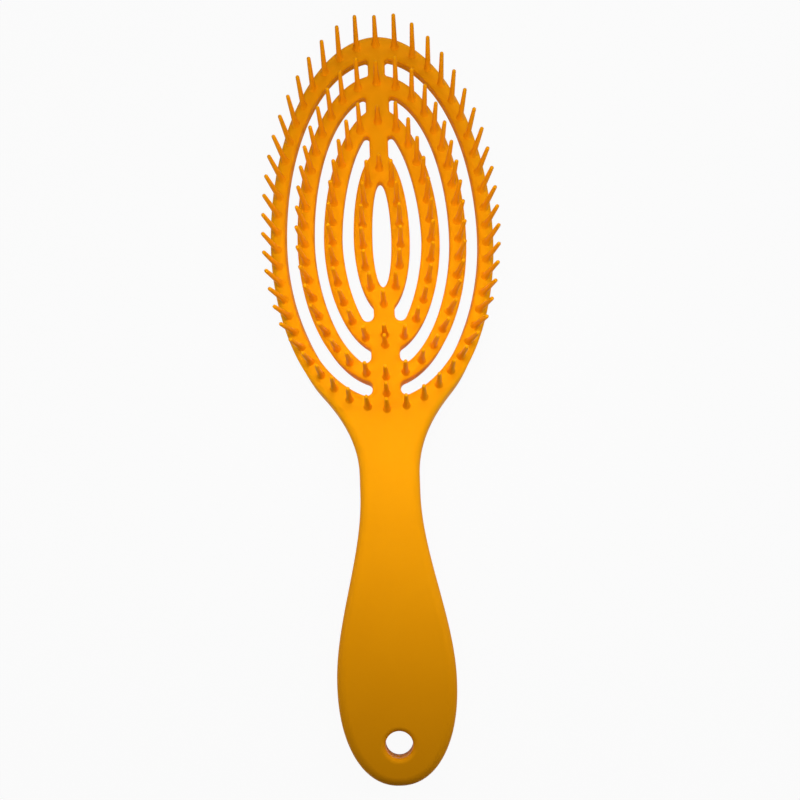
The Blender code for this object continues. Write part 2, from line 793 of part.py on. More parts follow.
def hang_hole():
    """The hanging hole's cutter, flared at the face and at the back."""
    v = HANG_HOLE_FROM_TAIL - HANDLE_LENGTH
    back = -back_depth(v)
    profile = [
        (0, back - OVERRUN),
        (HANG_RIM_RADIUS, back - OVERRUN),
        (HANG_RIM_RADIUS, back),
        (HANG_HOLE_RADIUS, back + HANG_RIM_DEPTH),
        (HANG_HOLE_RADIUS, -HANG_RIM_DEPTH),
        (HANG_RIM_RADIUS, HANDLE_FACE_CROWN),
        (HANG_RIM_RADIUS, OVERRUN),
        (0, OVERRUN),
    ]
    return profile, (0, v), HOLE_SIDES


def column(radius, v, sides):
    """An upright column through the whole handle."""
    low = -back_depth(v) - OVERRUN
    return [(0, low), (radius, low), (radius, OVERRUN), (0, OVERRUN)], (0, v), sides


def handle_pieces(collection, helpers):
    """The handle's two shells, hollow but for their bosses, with pegs, hanging hole and yoke pins."""
    rear_steps = ROUND_STEPS
    front = half_loft("handle_front_shell", shell_stations(front_levels, face_crown), collection)
    rear = half_loft(
        "handle_rear_shell",
        shell_stations(lambda item: rear_levels(item, rear_steps), lambda v, share: 0),
        collection,
    )
    pegs_made, sockets = pegs()
    hole = hang_hole()
    boss = PEG_RADIUS + SEAM_GAP + PEG_BOSS_WALL
    columns = [column(boss, spot[1], sides) for _, spot, sides in pegs_made]
    columns.append(column(HANG_HOLE_RADIUS + HANG_BOSS_WALL, hole[1][1], HOLE_SIDES))
    hollow = half_loft("handle_hollow", cavity_stations(), helpers)
    combine(hollow, stood("handle_columns", columns, helpers), "DIFFERENCE")
    around = pin_spots(OUTER_PIN_LINE, OUTER_PINS, OUTER_PIN_SPREAD)
    yoke = [spot for spot in around if spot.y < HORN_LINE]
    yoke.append(SECOND_RIM.point(math.pi) - Vector((0, FIRST_BRIDGE_PIN_DROP)))
    combine(front, hollow, "DIFFERENCE")
    combine(front, stood("hang_hole", [hole], helpers), "DIFFERENCE")
    combine(front, stood("pegs_and_yoke_pins", pegs_made + pin_shapes(yoke), helpers), "UNION")
    combine(rear, hollow, "DIFFERENCE")
    combine(rear, stood("sockets_and_hang_hole", [*sockets, hole], helpers), "DIFFERENCE")
    dress(front)
    dress(rear)


def lay_down(frame, objects):
    """Turns and moves the frame so that the brush rests on its heel and its toe, at the middle."""
    points = [vert.co for obj in objects for vert in obj.data.vertices]
    along = TOE - HEEL
    turn = Matrix.Rotation(-math.atan2(along.z, along.y), 3, "X")
    turned_points = [turn @ point for point in points]
    middle = (min(p.y for p in turned_points) + max(p.y for p in turned_points)) / 2
    frame.rotation_euler = turn.to_euler()
    frame.location = (0, -middle, -min(p.z for p in turned_points))


FRAME_NAME = "brush_frame"


def main():
    for obj in list(bpy.data.objects):
        bpy.data.objects.remove(obj, do_unlink=True)
    scene = bpy.context.scene
    collection = bpy.data.collections.new("hair_brush")
    helpers = bpy.data.collections.new("cutters")
    scene.collection.children.link(collection)
    scene.collection.children.link(helpers)
    frame = bpy.data.objects.new(FRAME_NAME, None)
    collection.objects.link(frame)
    rib_pieces(collection, helpers)
    handle_pieces(collection, helpers)
    for helper in helpers.objects:
        helper.hide_render = True
        helper.display_type = "WIRE"
    meshes = [obj for obj in collection.objects if obj.type == "MESH"]
    lay_down(frame, [*meshes, helpers.objects["outer_pins"]])


main()
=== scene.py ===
"""Orange vented hair brush, lying on its back with its pins up and seen from above.

The front moulding is one skin from the crown of the head to the tail of the handle, and the pins are
moulded with it. The rear moulding backs it on a seam round the edge.

Every outline is drawn on a flat pattern: u across, v along from the yoke line, w up from the front
face. BrushSurface bends that pattern to the curved and domed front face, and LAID puts the bent shape
where the brush lies in the frame. Lengths are metres, +Y runs to the head and +Z is the way the pins
point.
"""

import logging
import math
from collections.abc import Callable, Sequence
from dataclasses import dataclass
from enum import Enum
from functools import partial

import bmesh
import bpy
from mathutils import Matrix, Vector


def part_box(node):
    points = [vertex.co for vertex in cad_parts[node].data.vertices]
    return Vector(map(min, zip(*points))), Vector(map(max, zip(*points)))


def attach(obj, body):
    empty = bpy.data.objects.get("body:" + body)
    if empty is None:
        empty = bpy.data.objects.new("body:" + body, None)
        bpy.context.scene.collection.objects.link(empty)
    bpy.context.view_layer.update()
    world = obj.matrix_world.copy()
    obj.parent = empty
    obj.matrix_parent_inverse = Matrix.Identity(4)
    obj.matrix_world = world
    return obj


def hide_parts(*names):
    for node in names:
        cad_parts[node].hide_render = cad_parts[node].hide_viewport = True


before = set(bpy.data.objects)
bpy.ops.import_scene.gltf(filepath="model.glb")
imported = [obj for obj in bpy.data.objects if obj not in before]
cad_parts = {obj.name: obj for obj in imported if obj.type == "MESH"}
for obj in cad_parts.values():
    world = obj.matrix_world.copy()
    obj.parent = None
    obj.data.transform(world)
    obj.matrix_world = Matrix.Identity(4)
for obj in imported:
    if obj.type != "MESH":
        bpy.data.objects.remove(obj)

LOG = logging.getLogger("hair_brush")
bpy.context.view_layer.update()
WELD = 0.000002
TURN = 2 * math.pi
BEARING_STEP = TURN / 1440
SLOPE_STEP = 0.0003
RIM_SAMPLES = 480
HALVINGS = 40
SHARP_ANGLE = math.radians(40)
WHITE = (1.0, 1.0, 1.0, 1.0)


class End(Enum):
    """The two ends of a slot, by the bearing of the middle line there."""

    CROWN = 0.0
    FOOT = math.pi


class FillSide(Enum):
    """The sides of a moulding while it is made, by their material index."""

    WALL = 0
    OUTER = 1
    SEAM = 2


def smooth(value: float, start: float, end: float) -> float:
    """Gives an even rise of a value's share, from zero at start to one at end."""
    share = min(1.0, max(0.0, (value - start) / (end - start)))
    return share * share * (3 - 2 * share)


def mix(first: float, second: float, share: float) -> float:
    """Gives the value a share of the way from first to second."""
    return first + (second - first) * share


def eased(
    value: float, start: float, end: float, levels: tuple[float, float], slopes: tuple[float, float]
) -> float:
    """Gives a cubic between two levels, with a stated slope at each end.

    Args:
        value: The place between start and end.
        start: Where the cubic leaves its first level.
        end: Where it meets its second level.
        levels: The first and the second level.
        slopes: The slope at start and at end.

    Returns:
        The level at the place.
    """
    reach = end - start
    share = (value - start) / reach
    rise = share * share * (3 - 2 * share)
    leave = share * (1 - share) ** 2
    arrive = share * share * (share - 1)
    return mix(levels[0], levels[1], rise) + reach * (slopes[0] * leave + slopes[1] * arrive)


@dataclass(frozen=True)
class BrushSurface:
    """The lengthways curve and the dome of the front face, and the way the pins stand on it."""

    head_arc_radius: float = 1.100
    handle_arc_radius: float = 0.450
    yoke_slope: float = 0.06
    dome_drop: float = 0.0021
    dome_power: float = 3.2
    dome_half_width: float = 0.0347
    dome_half_length: float = 0.060
    dome_centre: float = 0.057
    dome_fade_below: float = 0.014
    dome_fade_above: float = 0.010
    forward_lean: float = 0.14
    forward_lean_end: float = 0.095
    side_lean: tuple[float, float] = (1.25, 0.05)
    side_lean_fade: tuple[float, float] = (0.060, 0.105)

    def dome(self, u: float, v: float) -> tuple[float, float, float]:
        """Gives the drop of the dome at a point.

        Args:
            u: Place across the pattern.
            v: Place along the pattern.

        Returns:
            The drop, and its slopes across and along.
        """
        fade = smooth(v, -self.dome_fade_below, self.dome_fade_above)
        along = v - self.dome_centre
        reach = (u / self.dome_half_width) ** 2 + (along / self.dome_half_length) ** 2
        drop = self.dome_drop * reach ** (self.dome_power / 2) * fade
        slope = self.dome_power * drop / reach if reach > 0 else 0.0
        return drop, slope * u / self.dome_half_width**2, slope * along / self.dome_half_length**2

    def arc_radius(self, v: float) -> float:
        """Gives the radius of the lengthways curve."""
        return self.head_arc_radius if v > 0 else self.handle_arc_radius

    def directions(self, v: float) -> tuple[Vector, Vector]:
        """Gives the directions along and up from the lengthways curve.

        Args:
            v: Place along the pattern.

        Returns:
            The direction ahead, to the head, and the direction up from the face.
        """
        slope = self.yoke_slope + v / self.arc_radius(v)
        ahead = Vector((0, math.cos(slope), -math.sin(slope)))
        return ahead, Vector((0, math.sin(slope), math.cos(slope)))

    def pin_way(self, u: float, v: float) -> Vector:
        """Gives the way a pin stands: nearly square to the face, and leaning forward near the crown.

        Args:
            u: Place across the pattern.
            v: Place along the pattern.

        Returns:
            The direction from the pin's root to its tip, before the brush is laid down.
        """
        _, across, along = self.dome(u, v)
        ahead, up = self.directions(v)
        side = mix(*self.side_lean, smooth(v, *self.side_lean_fade))
        forward = self.forward_lean * smooth(v, 0, self.forward_lean_end)
        return (up + Vector((side * across, 0, 0)) + (along + forward) * ahead).normalized()

    def bend(self, u: float, v: float, w: float) -> Vector:
        """Gives the place of a pattern point before the brush is laid down.

        Args:
            u: Place across the pattern.
            v: Place along the pattern.
            w: Height over the front face.

        Returns:
            The point in space.
        """
        radius = self.arc_radius(v)
        ahead, up = self.directions(v)
        rise = up.y - math.sin(self.yoke_slope)
        fall = up.z - math.cos(self.yoke_slope)
        drop, across, along = self.dome(u, v)
        normal = (up + Vector((across, 0, 0)) + along * ahead).normalized()
        return Vector((u, radius * rise, radius * fall)) - drop * up + w * normal


@dataclass(frozen=True)
class Stop:
    """A point of an outline on the pattern, and the direction from it into the plastic."""

    place: Vector
    lean: Vector

    def at(self, inset: float, w: float) -> Vector:
        """Gives the pattern point a stated way in from the outline, at a height."""
        flat = self.place + self.lean * inset
        return Vector((flat.x, flat.y, w))


def mirrored(points: Sequence[Vector]) -> list[Vector]:
    """Gives the same points on the other side of the middle line."""
    return [Vector((-point.x, point.y)) for point in points]


def lengths_along(path: Sequence[Vector]) -> list[float]:
    """Gives the distance along a path at each of its points.

    Args:
        path: The path's points.

    Returns:
        The distances, the first of them zero.
    """
    lengths = [0.0]
    for first, second in zip(path, path[1:]):
        lengths.append(lengths[-1] + (second - first).length)
    return lengths


def points_at(path: Sequence[Vector], lengths: Sequence[float], wanted: Sequence[float]) -> list[Vector]:
    """Gives the points of a path at stated distances.

    Args:
        path: The path's points.
        lengths: The distance along the path at each of its points.
        wanted: The stated distances, in rising order.

    Returns:
        One point for each distance.
    """
    points = []
    step = 0
    for distance in wanted:
        while lengths[step + 1] < distance:
            step += 1
        share = (distance - lengths[step]) / (lengths[step + 1] - lengths[step])
        points.append(path[step].lerp(path[step + 1], share))
    return points


def stops_of(points: Sequence[Vector]) -> list[Stop]:
    """Gives each point of a closed outline its direction into the plastic.

    Args:
        points: The outline's points, with the plastic on their left.

    Returns:
        One stop for each point.
    """
    stops = []
    for number, point in enumerate(points):
        ahead = points[(number + 1) % len(points)] - points[number - 1]
        stops.append(Stop(point, Vector((-ahead.y, ahead.x)).normalized()))
    return stops


@dataclass(frozen=True)
class Rim:
    """One closed curve of the head, measured from the widest line."""

    side: float
    crown: float
    foot: float
    crown_power: float = 2.0
    foot_power: float = 2.0
    widest_line: float = 0.038

    def point(self, bearing: float) -> Vector:
        """Gives the point of the curve at a bearing.

        Args:
            bearing: The angle, which is zero at the crown and pi at the foot.

        Returns:
            The point on the pattern.
        """
        lower = math.cos(bearing) < 0
        share = 2 / (self.foot_power if lower else self.crown_power)
        across = math.copysign(abs(math.sin(bearing)) ** share, math.sin(bearing))
        along = math.copysign(abs(math.cos(bearing)) ** share, math.cos(bearing))
        reach = self.foot if lower else self.crown
        return Vector((self.side * across, self.widest_line + reach * along))

    def outward(self, bearing: float) -> Vector:
        """Gives the direction out of the curve at a bearing."""
        ahead = self.point(bearing + BEARING_STEP) - self.point(bearing - BEARING_STEP)
        return Vector((-ahead.y, ahead.x)).normalized()

    def bearing_at(self, v: float) -> float:
        """Gives the bearing below the widest line at which the curve crosses v."""
        return math.acos((v - self.widest_line) / self.foot)

    def grown(
        self, size: tuple[float, float, float], crown_power: float = 2.0, foot_power: float = 2.0
    ) -> "Rim":
        """Gives the next curve out, larger by a size at the side, the crown and the foot."""
        side, crown, foot = size
        return Rim(self.side + side, self.crown + crown, self.foot + foot, crown_power, foot_power)

    def run(self, start: float, end: float, spacing: float) -> list[Vector]:
        """Gives evenly spaced points of the curve.

        Args:
            start: The bearing of the first point.
            end: The bearing of the last point.
            spacing: The distance between points.

        Returns:
            The points, both ends included.
        """
        samples = [self.point(mix(start, end, step / RIM_SAMPLES)) for step in range(RIM_SAMPLES + 1)]
        lengths = lengths_along(samples)
        count = max(2, round(lengths[-1] / spacing))
        wanted = [lengths[-1] * number / count for number in range(count)]
        return [*points_at(samples, lengths, wanted), samples[-1]]


@dataclass(frozen=True)
class Slot:
    """A slot between two ribs, with the half widths of the bridges that end it."""

    outer: Rim
    inner: Rim
    crown_bridge: float
    foot_bridge: float
    crown_round: float
    foot_round: float
    round_steps: int = 7

    def corner(self, rim: Rim, end: End) -> tuple[float, list[Vector]]:
        """Gives the rounded corner between a bridge and a rim.

        Args:
            rim: The slot's outer or inner rim.
            end: The crown or the foot.

        Returns:
            The bearing where the round meets the rim, and the round's points from the bridge to it.
        """
        side = -1 if rim is self.outer else 1
        at_foot = end is End.FOOT
        bridge = self.foot_bridge if at_foot else self.crown_bridge
        radius = self.foot_round if at_foot else self.crown_round
        near, far = end.value, math.pi / 2
        bearing, centre = near, rim.point(near)
        for _ in range(HALVINGS):
            bearing = (near + far) / 2
            centre = rim.point(bearing) + side * radius * rim.outward(bearing)
            if centre.x < bridge + radius:
                near = bearing
            else:
                far = bearing
        touch = -side * rim.outward(bearing)
        turn = math.atan2(touch.y, touch.x) - math.pi
        turn = (turn + math.pi) % TURN - math.pi
        points = []
        for step in range(self.round_steps):
            angle = math.pi + turn * step / self.round_steps
            points.append(centre + radius * Vector((math.cos(angle), math.sin(angle))))
        return bearing, points

    def outline(self, spacing: float) -> list[Vector]:
        """Gives the right-hand slot's closed outline, with the plastic on its left.

        Args:
            spacing: The distance between points along the rims.

        Returns:
            The outline's points.
        """
        halves = []
        for rim in (self.inner, self.outer):
            start, crown = self.corner(rim, End.CROWN)
            end, foot = self.corner(rim, End.FOOT)
            halves.append(crown + rim.run(start, end, spacing) + foot[::-1])
        return halves[1] + halves[0][::-1]


@dataclass(frozen=True)
class HeadPlan:
    """The nested ribs of the head, from the centre slot out, on the flat pattern."""

    centre_slot: Rim = Rim(0.0030, 0.0195, 0.0160)
    inner_rib: tuple[float, float, float] = (0.0059, 0.0105, 0.0080)
    third_gap: tuple[float, float, float] = (0.0037, 0.0095, 0.0092)
    third_rib: tuple[float, float, float] = (0.0058, 0.0060, 0.0039)
    second_gap: tuple[float, float, float] = (0.0032, 0.0055, 0.0063)
    second_rib: tuple[float, float, float] = (0.0053, 0.0067, 0.0043)
    first_gap: tuple[float, float, float] = (0.0039, 0.0063, 0.0047)
    outer_rib: tuple[float, float, float] = (0.0048, 0.0083, 0.0083)
    third_bore_power: float = 1.75
    third_crown_power: float = 1.85
    second_foot_power: float = 1.88
    outer_crown_power: float = 1.94
    first_bridges: tuple[float, float] = (0.0028, 0.0044)
    second_bridges: tuple[float, float] = (0.0038, 0.0045)
    third_bridges: tuple[float, float] = (0.0030, 0.0033)
    slot_end_rounds: tuple[float, float] = (0.0010, 0.0019)
    outer_row: tuple[float, float] = (0.0050, 0.0034)
    second_row: tuple[float, float] = (0.0035, 0.0021)
    third_row: tuple[float, float] = (0.0009, 0.0018)
    inner_row: tuple[float, float] = (0.0045, 0.0057)
    yoke_pin_gap: float = 0.0032
    bridge_pin_gap: float = 0.0033

    @property
    def inner_rim(self) -> Rim:
        """The outside of the inner rib."""
        return self.centre_slot.grown(self.inner_rib)

    @property
    def third_bore(self) -> Rim:
        """The inside of the third rib."""
        return self.inner_rim.grown(self.third_gap, self.third_bore_power, self.third_bore_power)

    @property
    def third_rim(self) -> Rim:
        """The outside of the third rib."""
        return self.third_bore.grown(self.third_rib, self.third_crown_power)

    @property
    def second_bore(self) -> Rim:
        """The inside of the second rib."""
        return self.third_rim.grown(self.second_gap, foot_power=self.second_foot_power)

    @property
    def second_rim(self) -> Rim:
        """The outside of the second rib."""
        return self.second_bore.grown(self.second_rib)

    @property
    def outer_bore(self) -> Rim:
        """The inside of the outer rib."""
        return self.second_rim.grown(self.first_gap)

    @property
    def outer_rim(self) -> Rim:
        """The outside of the head."""
        return self.outer_bore.grown(self.outer_rib, self.outer_crown_power)

    def slots(self) -> list[Slot]:
        """Gives the three slots between the ribs, from the outside in."""
        return [
            Slot(self.outer_bore, self.second_rim, *self.first_bridges, *self.slot_end_rounds),
            Slot(self.second_bore, self.third_rim, *self.second_bridges, *self.slot_end_rounds),
            Slot(self.third_bore, self.inner_rim, *self.third_bridges, *self.slot_end_rounds),
        ]


@dataclass(frozen=True)
class HandlePlan:
    """The handle's outline, measured down from the yoke line, and its hanging hole."""

    length: float = 0.1342
    tail_length: float = 0.0317
    tail_arc_ratio: float = 1.2
    tail_power: float = 2.2
    swell_half_width: float = 0.0184
    waist_half_width: float = 0.0093
    waist_start: float = 0.044
    waist_end: float = 0.038
    flare_end: float = 0.012
    hole_from_tail: float = 0.0130
    hole_radius: float = 0.00425
    hole_round: float = 0.00155

    @property
    def hole_line(self) -> float:
        """The place of the hanging hole along the pattern."""
        return self.hole_from_tail - self.length

    def half_width(self, v: float, rim: Rim) -> float:
        """Gives half the width of the handle above its tail.

        Args:
            v: Place along the pattern.
            rim: The outside of the head, which the handle flares into.

        Returns:
            The half width.
        """
        swell = self.tail_length - self.length
        if v < -self.waist_start:
            return mix(self.swell_half_width, self.waist_half_width, smooth(v, swell, -self.waist_start))
        if v < -self.waist_end:
            return self.waist_half_width
        meet = rim.bearing_at(-self.flare_end)
        ahead = rim.outward(meet)
        levels = (self.waist_half_width, rim.point(meet).x)
        return eased(v, -self.waist_end, -self.flare_end, levels, (0.0, -ahead.y / ahead.x))

    def tail_point(self, bearing: float) -> Vector:
        """Gives a point of the rounded tail.

        Args:
            bearing: The angle, which is zero at the tip.

        Returns:
            The point on the pattern.
        """
        share = 2 / self.tail_power
        across = self.swell_half_width * math.sin(bearing) ** share
        rise = self.tail_length * (1 - math.cos(bearing) ** share)
        return Vector((across, rise - self.length))

    def right_edge(self, rim: Rim, spacing: float) -> list[Vector]:
        """Gives the right-hand outline of the whole brush, from the tip of the tail to the crown.

        Args:
            rim: The outside of the head.
            spacing: The distance between points.

        Returns:
            The points, the first and the last on the middle line.
        """
        tail_steps = round(self.tail_arc_ratio * self.tail_length / spacing)
        points = [self.tail_point(math.pi / 2 * step / tail_steps) for step in range(tail_steps)]
        start = self.tail_length - self.length
        steps = round((-self.flare_end - start) / spacing)
        for step in range(steps):
            v = mix(start, -self.flare_end, step / steps)
            points.append(Vector((self.half_width(v, rim), v)))
        return points + rim.run(rim.bearing_at(-self.flare_end), 0.0, spacing)


@dataclass(frozen=True)
class DepthPlan:
    """Edge rounds, seam and back of the brush, all of which change along it."""

    surface: BrushSurface
    head: HeadPlan
    handle: HandlePlan
    rib_depth: float = 0.0042
    rib_seam: float = 0.0019
    rib_edge: float = 0.0010
    rib_edge_inset: float = 0.0020
    rib_back_edge: float = 0.0008
    fade_to_rib_depth: float = 0.045
    waist_fall: float = -0.11
    handle_edge: float = 0.0030
    handle_back_edge: float = 0.0036
    handle_seam: float = 0.0050
    tail_seam: float = 0.0038
    face_crown: float = 0.0004
    tail_depth: float = 0.0079
    land_depth: float = 0.0142
    waist_depth: float = 0.0106
    tail_to_land: float = 0.0200
    land_length: float = 0.0200
    horn_line: float = -0.0038

    @property
    def land_start(self) -> float:
        """Where the land that the heel rests on begins."""
        return self.tail_to_land - self.handle.length

    @property
    def land_end(self) -> float:
        """Where the land ends."""
        return self.land_start + self.land_length

    def fade(self, v: float) -> float:
        """Gives zero on the handle, one on the ribs, and an even rise on the yoke."""
        return smooth(v, -self.handle.waist_end, self.horn_line)

    def edge(self, v: float) -> float:
        """Gives the depth of the front face's edge round."""
        return mix(self.handle_edge, self.rib_edge, self.fade(v))

    def edge_inset(self, v: float) -> float:
        """Gives the width of the front face's edge round."""
        return mix(self.handle_edge, self.rib_edge_inset, self.fade(v))

    def back_edge(self, v: float) -> float:
        """Gives the radius of the back's edge round."""
        return mix(self.handle_back_edge, self.rib_back_edge, self.fade(v))

    def seam(self, v: float) -> float:
        """Gives the depth of the seam between the two mouldings."""
        on_handle = smooth(v, -self.handle.length, -self.handle.waist_end)
        return mix(mix(self.tail_seam, self.handle_seam, on_handle), self.rib_seam, self.fade(v))

    def heel_and_toe(self) -> tuple[Vector, Vector]:
        """Gives the two places on the back that the brush rests on.

        Returns:
            The middle of the land under the handle, and the tip of the head.
        """
        heel = self.surface.bend(0, (self.land_start + self.land_end) / 2, -self.land_depth)
        crown = self.head.outer_rim.point(0).y
        return heel, self.surface.bend(0, crown - self.rib_back_edge, -self.rib_depth)

    def resting_depth(self, v: float) -> float:
        """Gives the depth of the plane that the brush rests on.

        Args:
            v: Place along the pattern.

        Returns:
            The depth under the front face.
        """
        heel, toe = self.heel_and_toe()
        along = toe - heel
        up = Vector((0, -along.z, along.y))
        face = self.surface.bend(0, v, 0)
        reach = face - self.surface.bend(0, v, -self.land_depth)
        return self.land_depth * (face - heel).dot(up) / reach.dot(up)

    def resting_slope(self, v: float) -> float:
        """Gives the slope of the resting plane's depth."""
        rise = self.resting_depth(v + SLOPE_STEP) - self.resting_depth(v - SLOPE_STEP)
        return rise / (2 * SLOPE_STEP)

    def back(self, v: float) -> float:
        """Gives the depth of the back at a place along the brush.

        Args:
            v: Place along the pattern.

        Returns:
            The depth under the front face.
        """
        start, end = self.land_start, self.land_end
        if v < start:
            levels = (self.tail_depth, self.resting_depth(start))
            return eased(v, -self.handle.length, start, levels, (0.0, self.resting_slope(start)))
        if v < end:
            return self.resting_depth(v)
        if v < -self.handle.waist_end:
            levels = (self.resting_depth(end), self.waist_depth)
            slopes = (self.resting_slope(end), self.waist_fall)
            return eased(v, end, -self.handle.waist_end, levels, slopes)
        if v < self.fade_to_rib_depth:
            levels, slopes = (self.waist_depth, self.rib_depth), (self.waist_fall, 0.0)
            return eased(v, -self.handle.waist_end, self.fade_to_rib_depth, levels, slopes)
        return self.rib_depth

    def face_rise(self, u: float, v: float) -> float:
        """Gives the rise of the handle's face towards its middle line.

        Args:
            u: Place across the pattern.
            v: Place along the pattern.

        Returns:
            The rise, which is zero on the head.
        """
        fade = 1 - smooth(v, -self.handle.waist_end, -self.handle.flare_end)
        if fade <= 0:
            return 0.0
        if v < self.handle.tail_length - self.handle.length:
            rise = min(1.0, max(0.0, (v + self.handle.length) / self.handle.tail_length))
            power = self.handle.tail_power
            width = self.handle.swell_half_width * (1 - (1 - rise) ** power) ** (1 / power)
            end = 1 - ((1 - rise) / (1 - self.handle_edge / self.handle.tail_length)) ** 2
        else:
            width = self.handle.half_width(v, self.head.outer_rim)
            end = 1.0
        inner = max(WELD, width - self.edge_inset(v))
        return self.face_crown * fade * max(0.0, 1 - (u / inner) ** 2) * max(0.0, end)


Level = Callable[[Stop], Vector]


@dataclass
class Moulding:
    """One half of the brush: a closed skin with rounded edges round every outline."""

    name: str
    nodes: tuple[str, ...]
    head: HeadPlan
    handle: HandlePlan
    depths: DepthPlan
    spacing: float = 0.0011
    round_steps: int = 7
    grid: float = 0.0030
    hole_steps: int = 48
    seam_side: int = 1
    seam_gap: float = 0.00012
    seam_round: float = 0.00018
    seam_round_middle: float = 0.000054
    face_margin: float = 0.0002

    def outlines(self) -> list[list[Stop]]:
        """Gives the brush's outline and every opening in it.

        Returns:
            The closed outlines, with the plastic on the left of each.
        """
        right = self.handle.right_edge(self.head.outer_rim, self.spacing)
        loops = [right + mirrored(right[-2:0:-1])]
        for slot in self.head.slots():
            loop = slot.outline(self.spacing)
            loops += [loop, mirrored(loop[::-1])]
        loops.append(self.head.centre_slot.run(0.0, TURN, self.spacing / 2)[:-1])
        hole = []
        for step in range(self.hole_steps):
            angle = -TURN * step / self.hole_steps
            reach = self.handle.hole_radius * Vector((math.cos(angle), math.sin(angle)))
            hole.append(Vector((0, self.handle.hole_line)) + reach)
        loops.append(hole)
        return [stops_of(loop) for loop in loops]

    def edge_round(self, v: float) -> tuple[float, float]:
        """Gives the width and the depth of the outer face's edge round."""
        raise NotImplementedError

    def outer(self, u: float, v: float) -> float:
        """Gives the height of the outer face."""
        raise NotImplementedError

    def seam(self, _: float, v: float) -> float:
        """Gives the height of the moulding's side of the seam, the same right across."""
        return self.seam_side * self.seam_gap / 2 - self.depths.seam(v)

    def in_hole(self, stop: Stop) -> bool:
        """Says whether a stop is on the hanging hole."""
        reach = stop.place - Vector((0, self.handle.hole_line))
        return reach.length < self.handle.hole_radius + WELD

    def on_wall(self, inset: float, off_seam: float, stop: Stop) -> Vector:
        """Places a stop on the wall, a stated way in from the outline and off the seam."""
        return stop.at(inset, self.seam(0, stop.place.y) + self.seam_side * off_seam)

    def on_edge(self, angle: float, extra: float, stop: Stop) -> Vector:
        """Places a stop on the outer face's rounded edge.

        Args:
            angle: Zero on the wall and a right angle on the face.
            extra: How much further in the place is.
            stop: The stop.

        Returns:
            The point on the pattern.
        """
        hole_round = self.handle.hole_round
        inset, drop = (hole_round, hole_round) if self.in_hole(stop) else self.edge_round(stop.place.y)
        rise = self.seam_side * drop * (math.sin(angle) - 1)
        spot = stop.at(inset * (1 - math.cos(angle)) + extra, rise)
        return spot + Vector((0, 0, self.outer(spot.x, spot.y)))

    def levels(self) -> list[Level]:
        """Gives the steps of the moulding's side.

        Returns:
            The steps from the outer face, round its edge and along the wall, to the seam.
        """
        steps = [partial(self.on_edge, math.pi / 2, self.face_margin)]
        for step in range(self.round_steps + 1):
            steps.append(partial(self.on_edge, math.pi / 2 * (1 - step / self.round_steps), 0.0))
        middle = self.seam_round_middle
        for inset, off_seam in ((0.0, self.seam_round), (middle, middle), (self.seam_round, 0.0)):
            steps.append(partial(self.on_wall, inset, off_seam))
        return steps

    def fill(self, bm: bmesh.types.BMesh, edges: list[bmesh.types.BMEdge], side: FillSide) -> None:
        """Closes a side inside its outlines.

        Args:
            bm: The moulding's mesh.
            edges: The edges of all the outlines on that side.
            side: Which side it is.
        """
        made = bmesh.ops.triangle_fill(bm, edges=edges, use_beauty=True, use_dissolve=False)
        for element in made["geom"]:
            if isinstance(element, bmesh.types.BMFace):
                element.material_index = side.value

    def cut_grid(self, bm: bmesh.types.BMesh, side: FillSide) -> None:
        """Cuts a side along a grid, so that it follows the curved face.

        Args:
            bm: The moulding's mesh.
            side: Which side is cut.
        """
        faces = [face for face in bm.faces if face.material_index == side.value]
        geom = list({edge for face in faces for edge in face.edges})
        geom += list({vert for face in faces for vert in face.verts}) + faces
        low = -self.handle.length
        high = self.head.outer_rim.point(0).y
        count = round((high - low) / self.grid)
        planes = []
        for step in range(1, count):
            planes.append((Vector((0, mix(low, high, step / count), 0)), Vector((0, 1, 0))))
        half = self.head.outer_rim.side
        count = round(half / self.grid)
        for step in range(-count + 1, count):
            planes.append((Vector((half * step / count, 0, 0)), Vector((1, 0, 0))))
        for place, normal in planes:
            cut = bmesh.ops.bisect_plane(bm, geom=geom, dist=WELD, plane_co=place, plane_no=normal)
            geom = cut["geom"]

    def build(self) -> bpy.types.Object:
        """Models the moulding on the flat pattern and lays it over the brush.

        Returns:
            The finished object.
        """
        bm = bmesh.new()
        tag = bm.verts.layers.int.new("stop")
        levels = self.levels()[:: self.seam_side]
        sides = [(FillSide.OUTER, self.outer), (FillSide.SEAM, self.seam)][:: self.seam_side]
        stops: list[Stop] = []
        edges: list[bmesh.types.BMEdge] = []
        for outline in self.outlines():
            ring = []
            for stop in outline:
                vert = bm.verts.new(levels[0](stop))
                vert[tag] = len(stops)
                stops.append(stop)
                ring.append(vert)
            edges += [bm.edges.new(pair) for pair in zip(ring, ring[1:] + ring[:1])]
        self.fill(bm, edges, sides[0][0])
        for level in levels[1:]:
            made = bmesh.ops.extrude_edge_only(bm, edges=edges)["geom"]
            verts = {element for element in made if isinstance(element, bmesh.types.BMVert)}
            for vert in verts:
                vert.co = level(stops[vert[tag]])
            edges = [
                element
                for element in made
                if isinstance(element, bmesh.types.BMEdge) and verts.issuperset(element.verts)
            ]
            for element in made:
                if isinstance(element, bmesh.types.BMFace):
                    element.material_index = FillSide.WALL.value
        self.fill(bm, edges, sides[1][0])
        for side, height in sides:
            self.cut_grid(bm, side)
            for vert in {v for face in bm.faces if face.material_index == side.value for v in face.verts}:
                vert.co.z = height(vert.co.x, vert.co.y)
        for face in bm.faces:
            face.material_index = 0
            face.smooth = True
        for vert in bm.verts:
            vert.co = LAID @ self.depths.surface.bend(*vert.co)
        bmesh.ops.remove_doubles(bm, verts=bm.verts, dist=WELD)
        bmesh.ops.recalc_face_normals(bm, faces=bm.faces)
        return finished(bm, self.name, self.nodes)


